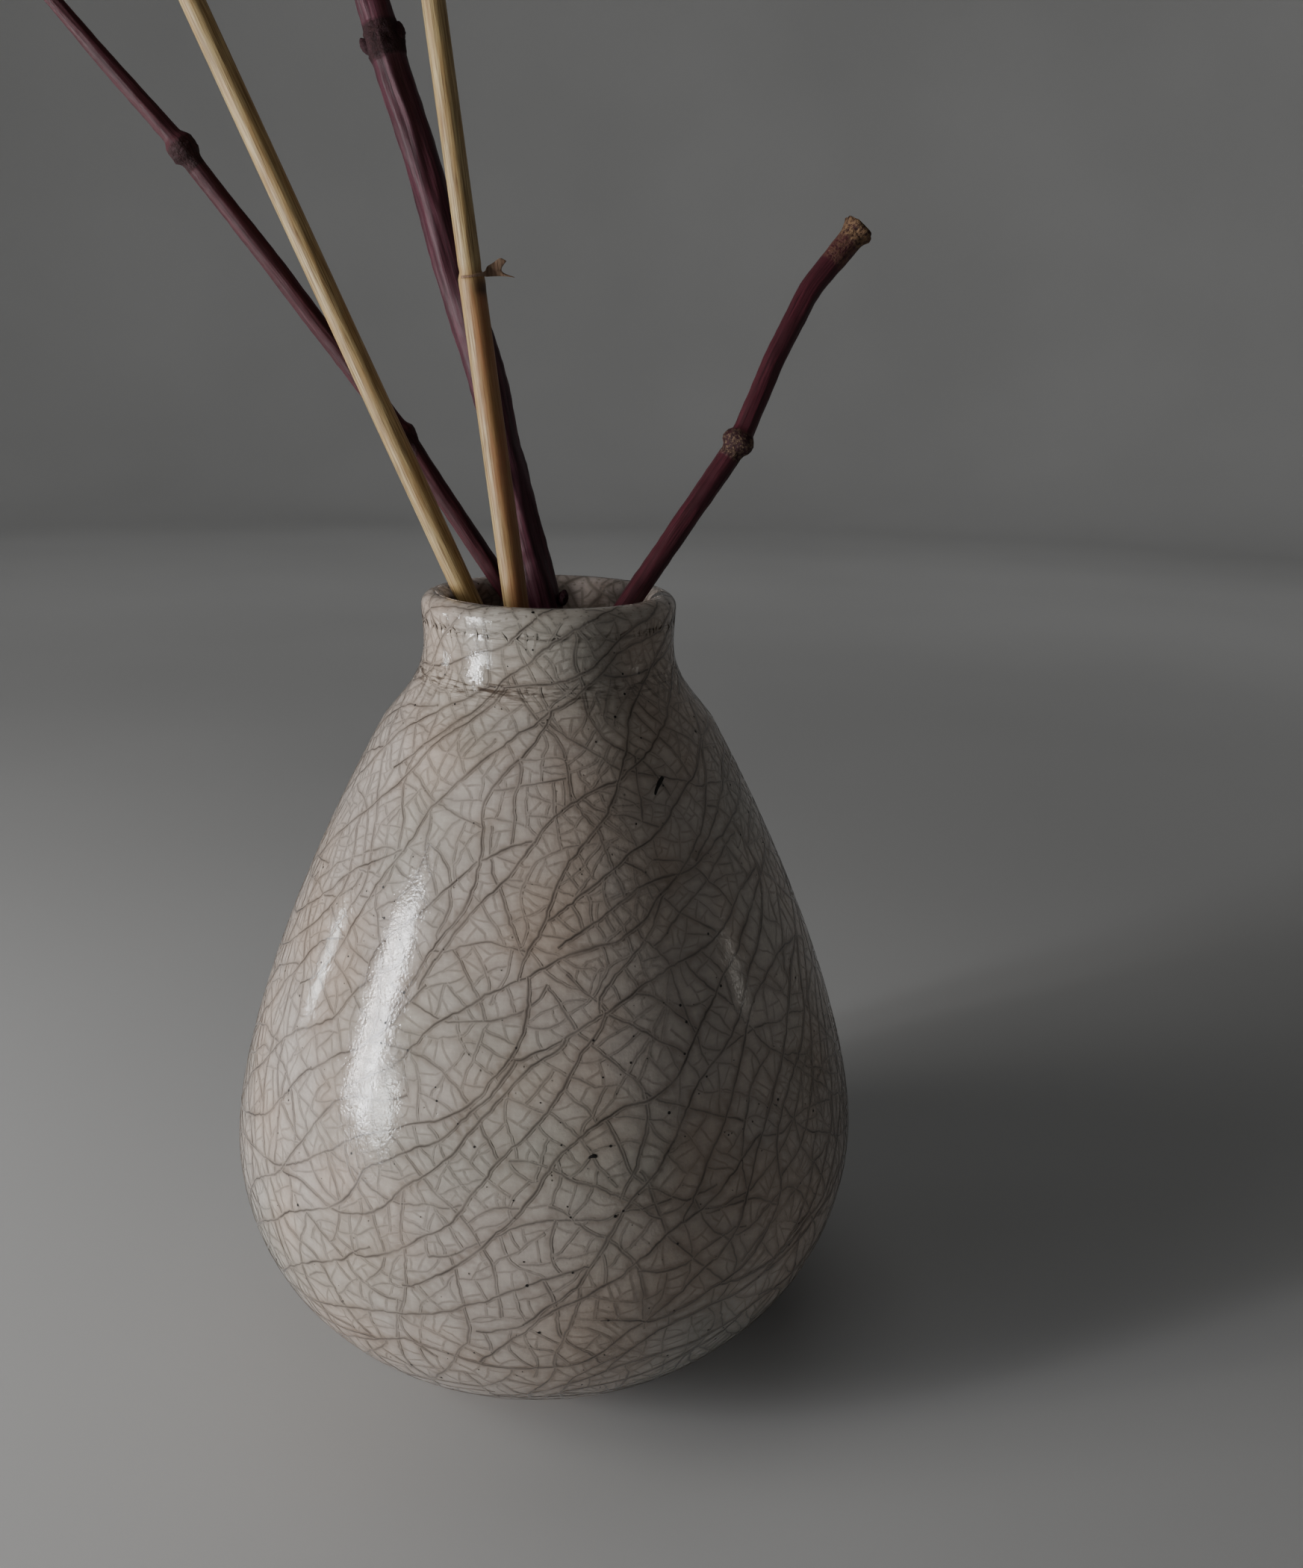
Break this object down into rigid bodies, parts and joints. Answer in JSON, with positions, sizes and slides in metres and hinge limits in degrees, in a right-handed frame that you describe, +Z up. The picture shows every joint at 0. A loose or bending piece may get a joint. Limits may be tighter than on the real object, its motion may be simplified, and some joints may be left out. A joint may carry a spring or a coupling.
{
  "type": "ceramic bud vase",
  "caption": "Pear-shaped crackle-glazed stoneware bud vase with a short neck, rounded lip and foot ring, holding dry reeds and bare twigs that lift out.",
  "frame": {"origin": "centre of the foot ring, on the plane of the table", "axes": "+Z up along the vase's axis; -Y towards the viewer; the single right-hand twig leans to +X"},
  "size_m": [0.1407, 0.11, 0.2622],
  "materials": {
    "stoneware": "fired, unglazed and slightly sandy",
    "crackle_glaze": "semi-gloss warm grey glaze with stained crackle lines",
    "liner_glaze": "semi-gloss grey liner glaze",
    "dry_reed": "dry, satin straw with lengthwise fibres",
    "dry_leaf": "dry, matte and papery",
    "twig_bark": "dark red-brown wrinkled bark"
  },
  "bodies": {
    "vase": {"vase_body": "stoneware", "outer_glaze": "crackle_glaze", "inner_glaze": "liner_glaze"},
    "left_reed": {"reed_left": "dry_reed"},
    "centre_reed": {"reed_centre": "dry_reed", "reed_sheath": "dry_leaf"},
    "left_twig": {"twig_left": "twig_bark"},
    "centre_twig": {"twig_centre": "twig_bark"},
    "right_twig": {"twig_right": "twig_bark"}
  },
  "joints": [
    {"name": "left_reed_lift", "type": "slide", "parent": "vase", "child": "left_reed", "axis": [-0.4056, 0.0274, 0.9136], "range_m": [0, 0.131]},
    {"name": "centre_reed_lift", "type": "slide", "parent": "vase", "child": "centre_reed", "axis": [-0.127, 0, 0.9919], "range_m": [0, 0.128]},
    {"name": "left_twig_lift", "type": "slide", "parent": "vase", "child": "left_twig", "axis": [-0.5449, -0.0168, 0.8383], "range_m": [0, 0.1]},
    {"name": "centre_twig_lift", "type": "slide", "parent": "vase", "child": "centre_twig", "axis": [-0.2453, -0.0097, 0.9694], "range_m": [0, 0.128]},
    {"name": "right_twig_lift", "type": "slide", "parent": "vase", "child": "right_twig", "axis": [0.5644, 0.1774, 0.8062], "range_m": [0, 0.098]}
  ]
}
